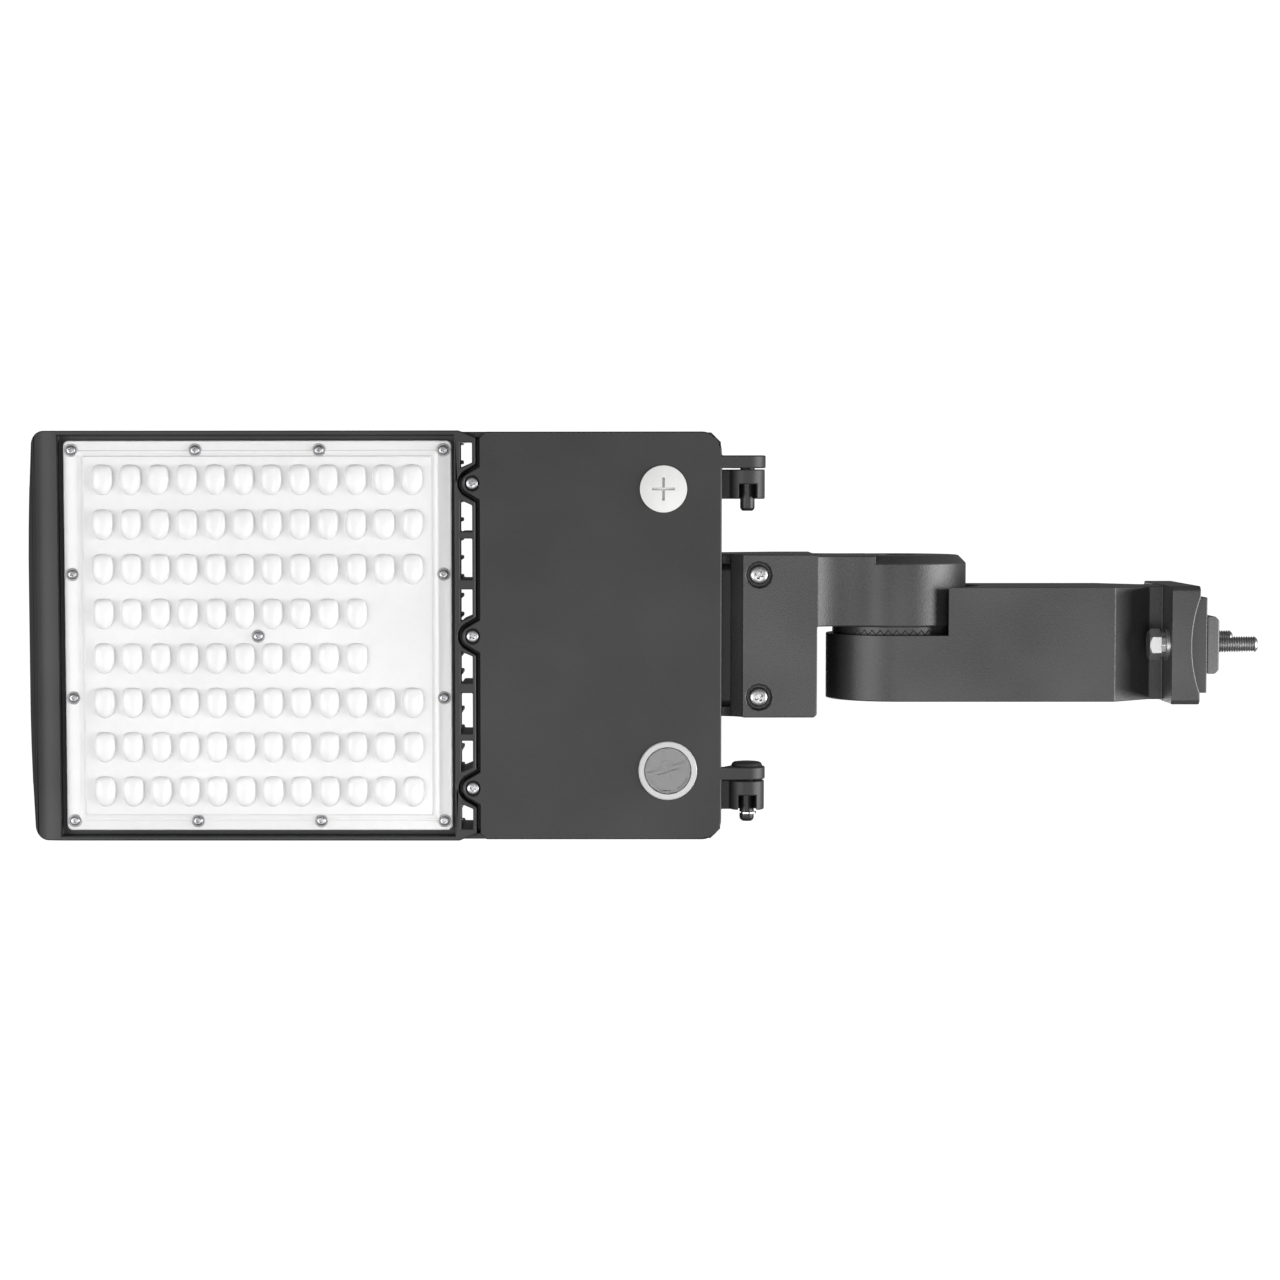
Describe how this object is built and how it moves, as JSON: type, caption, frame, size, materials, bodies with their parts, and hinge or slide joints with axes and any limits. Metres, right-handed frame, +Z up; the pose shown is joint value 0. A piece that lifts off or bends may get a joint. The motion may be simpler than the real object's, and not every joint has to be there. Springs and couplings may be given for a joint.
{
  "type": "shoebox area light",
  "caption": "Flat pole-mounted area light: vented die-cast head with a square field of small optics, hinged driver door, and a toothed tilt knuckle on a bolted arm.",
  "frame": {"origin": "middle of the pole adapter's flat face, where the arm meets the pole", "axes": "+X from the head towards the pole, +Y across, +Z up; the light shines towards -Z"},
  "size_m": [0.7653, 0.2548, 0.108],
  "materials": {
    "arm_coat": "dark grey fine-grained powder coat",
    "black_nylon": "satin black",
    "black_steel": "black oxide",
    "board_white": "white solder mask",
    "cast_plate": "grey cast plate",
    "clear_lens": "clear moulded lens",
    "clear_plug": "clear moulded plug",
    "driver_case": "grey case filled with potting",
    "frosted_ring": "frosted moulding",
    "lead_red": "smooth insulation",
    "led_phosphor": "yellow phosphor",
    "potting_plastic": "black box",
    "powder_coat": "dark grey textured powder coat",
    "seal_rubber": "matte",
    "sensor_plastic": "dark module",
    "stainless": "bright stainless steel",
    "terminal_plastic": "light grey block",
    "white_plastic": "satin white",
    "zinc_steel": "bright zinc plating"
  },
  "bodies": {
    "arm": {"pole_arm": "arm_coat", "pole_adapter": "black_nylon", "pole_bolts": "zinc_steel", "flat_washers": "zinc_steel", "lock_washers": "zinc_steel", "pivot_bolt": "zinc_steel", "pivot_washer": "zinc_steel", "pivot_nut": "zinc_steel"},
    "head": {"board_connector": "white_plastic", "board_leads": "lead_red", "board_screws": "stainless", "bracket": "arm_coat", "bracket_screws": "stainless", "driver": "driver_case", "driver_leads": "lead_red", "driver_screws": "stainless", "entry_grommet": "seal_rubber", "housing": "powder_coat", "lead_grommet": "seal_rubber", "led_board": "board_white", "led_packages": "led_phosphor", "lens_gasket": "seal_rubber", "lens_plate": "clear_lens", "lens_screws": "stainless", "light_sensor": "sensor_plastic", "surge_protector": "potting_plastic", "terminal_block": "terminal_plastic"},
    "door": {"driver_door": "powder_coat", "door_gasket": "seal_rubber", "door_screws": "stainless", "hinge_pin_upper": "black_steel", "hinge_pin_lower": "black_steel", "pin_clip": "stainless", "blank_plug_seal": "seal_rubber", "window_ring": "frosted_ring"},
    "blank_plug": {"blank_plug": "white_plastic"},
    "window_plug": {"window_plug": "clear_plug"},
    "backing_plate": {"backing_plate": "cast_plate"}
  },
  "joints": [
    {"name": "head_tilt", "type": "hinge", "parent": "arm", "child": "head", "pos_m": [-0.188, 0, 0], "axis": [0, 1, 0], "range_deg": [-75, 75]},
    {"name": "door_swing", "type": "hinge", "parent": "head", "child": "door", "pos_m": [-0.2833, 0, -0.0327], "axis": [0, -1, 0], "range_deg": [0, 105]},
    {"name": "blank_plug_turn", "type": "hinge", "parent": "door", "child": "blank_plug", "pos_m": [-0.3356, -0.0965, -0.044], "axis": [0, 0, 1], "range_deg": [0, 90]},
    {"name": "window_plug_turn", "type": "hinge", "parent": "door", "child": "window_plug", "pos_m": [-0.3328, 0.0783, -0.044], "axis": [0, 0, 1], "range_deg": [0, 90]},
    {"name": "backing_plate_slide", "type": "slide", "parent": "arm", "child": "backing_plate", "axis": [1, 0, 0], "range_m": [0, 0.02]}
  ]
}
